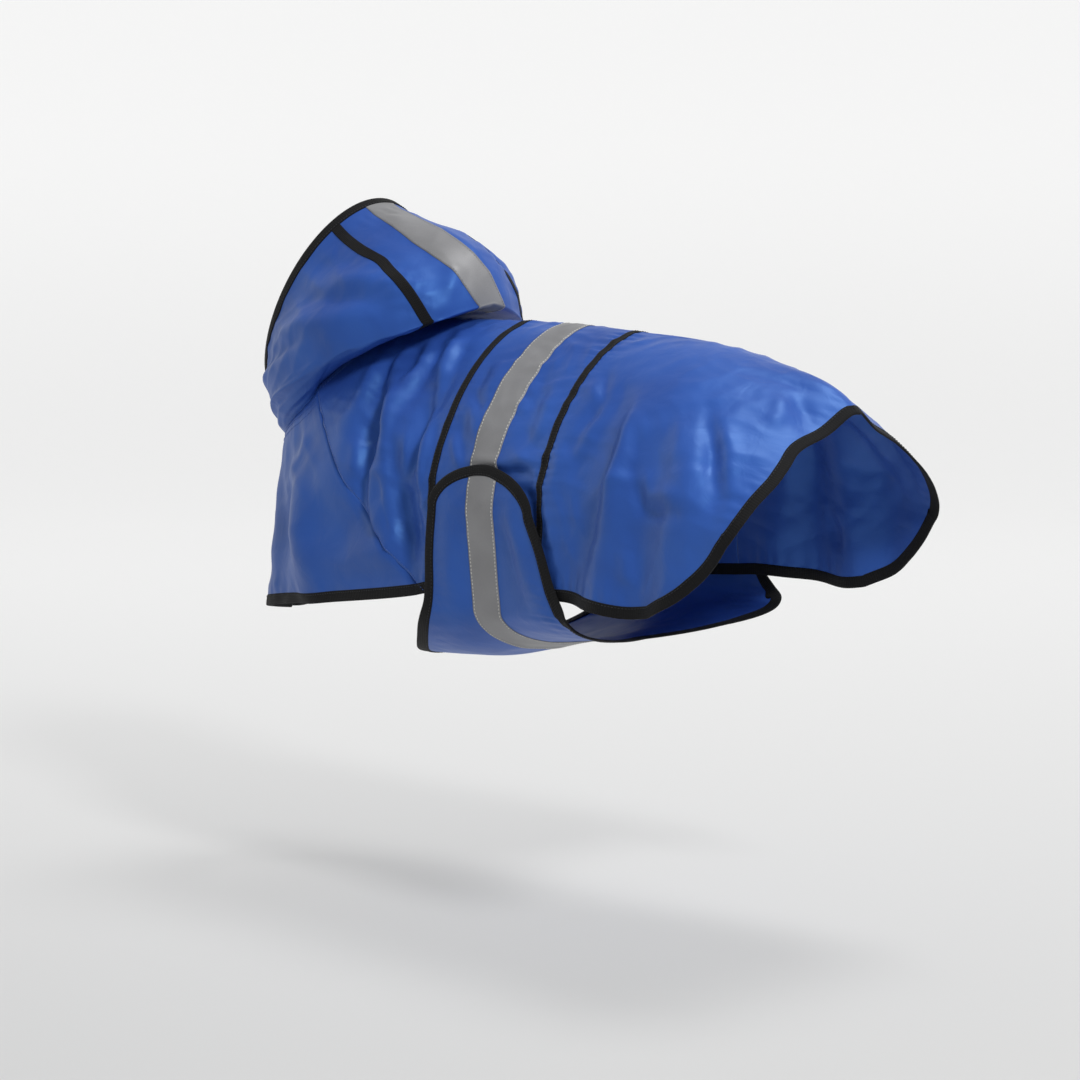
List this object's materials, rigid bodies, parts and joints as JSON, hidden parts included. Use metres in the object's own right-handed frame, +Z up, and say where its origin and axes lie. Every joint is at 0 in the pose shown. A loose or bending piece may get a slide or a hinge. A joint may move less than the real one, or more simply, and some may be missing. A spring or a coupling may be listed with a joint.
{
  "type": "dog raincoat",
  "caption": "Hooded raincoat for a large dog: a shaped back of blue coated cloth with black bound edges, reflective tape bands and a belly strap.",
  "frame": {"origin": "inside of the cloth over the withers, where the coat is carried", "axes": "+X along the back towards the tail end, +Y the wearer's right side, +Z up"},
  "size_m": [0.7487, 0.3234, 0.4522],
  "materials": {
    "cloth": "satin",
    "binding": "matte",
    "reflective": "satin"
  },
  "bodies": {
    "root": {"back_skirt": "cloth", "waist_panel": "cloth", "shoulder_panel": "cloth", "left_front": "cloth", "right_front": "cloth", "hood_crown": "cloth", "hood_side_left": "cloth", "hood_side_right": "cloth", "belly_strap": "cloth", "hood_seam_left": "binding", "hood_seam_right": "binding", "hood_edge_binding": "binding", "waist_seam_front": "binding", "waist_seam_rear": "binding", "hem_binding": "binding", "strap_binding": "binding", "hood_reflective": "reflective", "waist_reflective": "reflective", "strap_reflective": "reflective"}
  },
  "joints": []
}
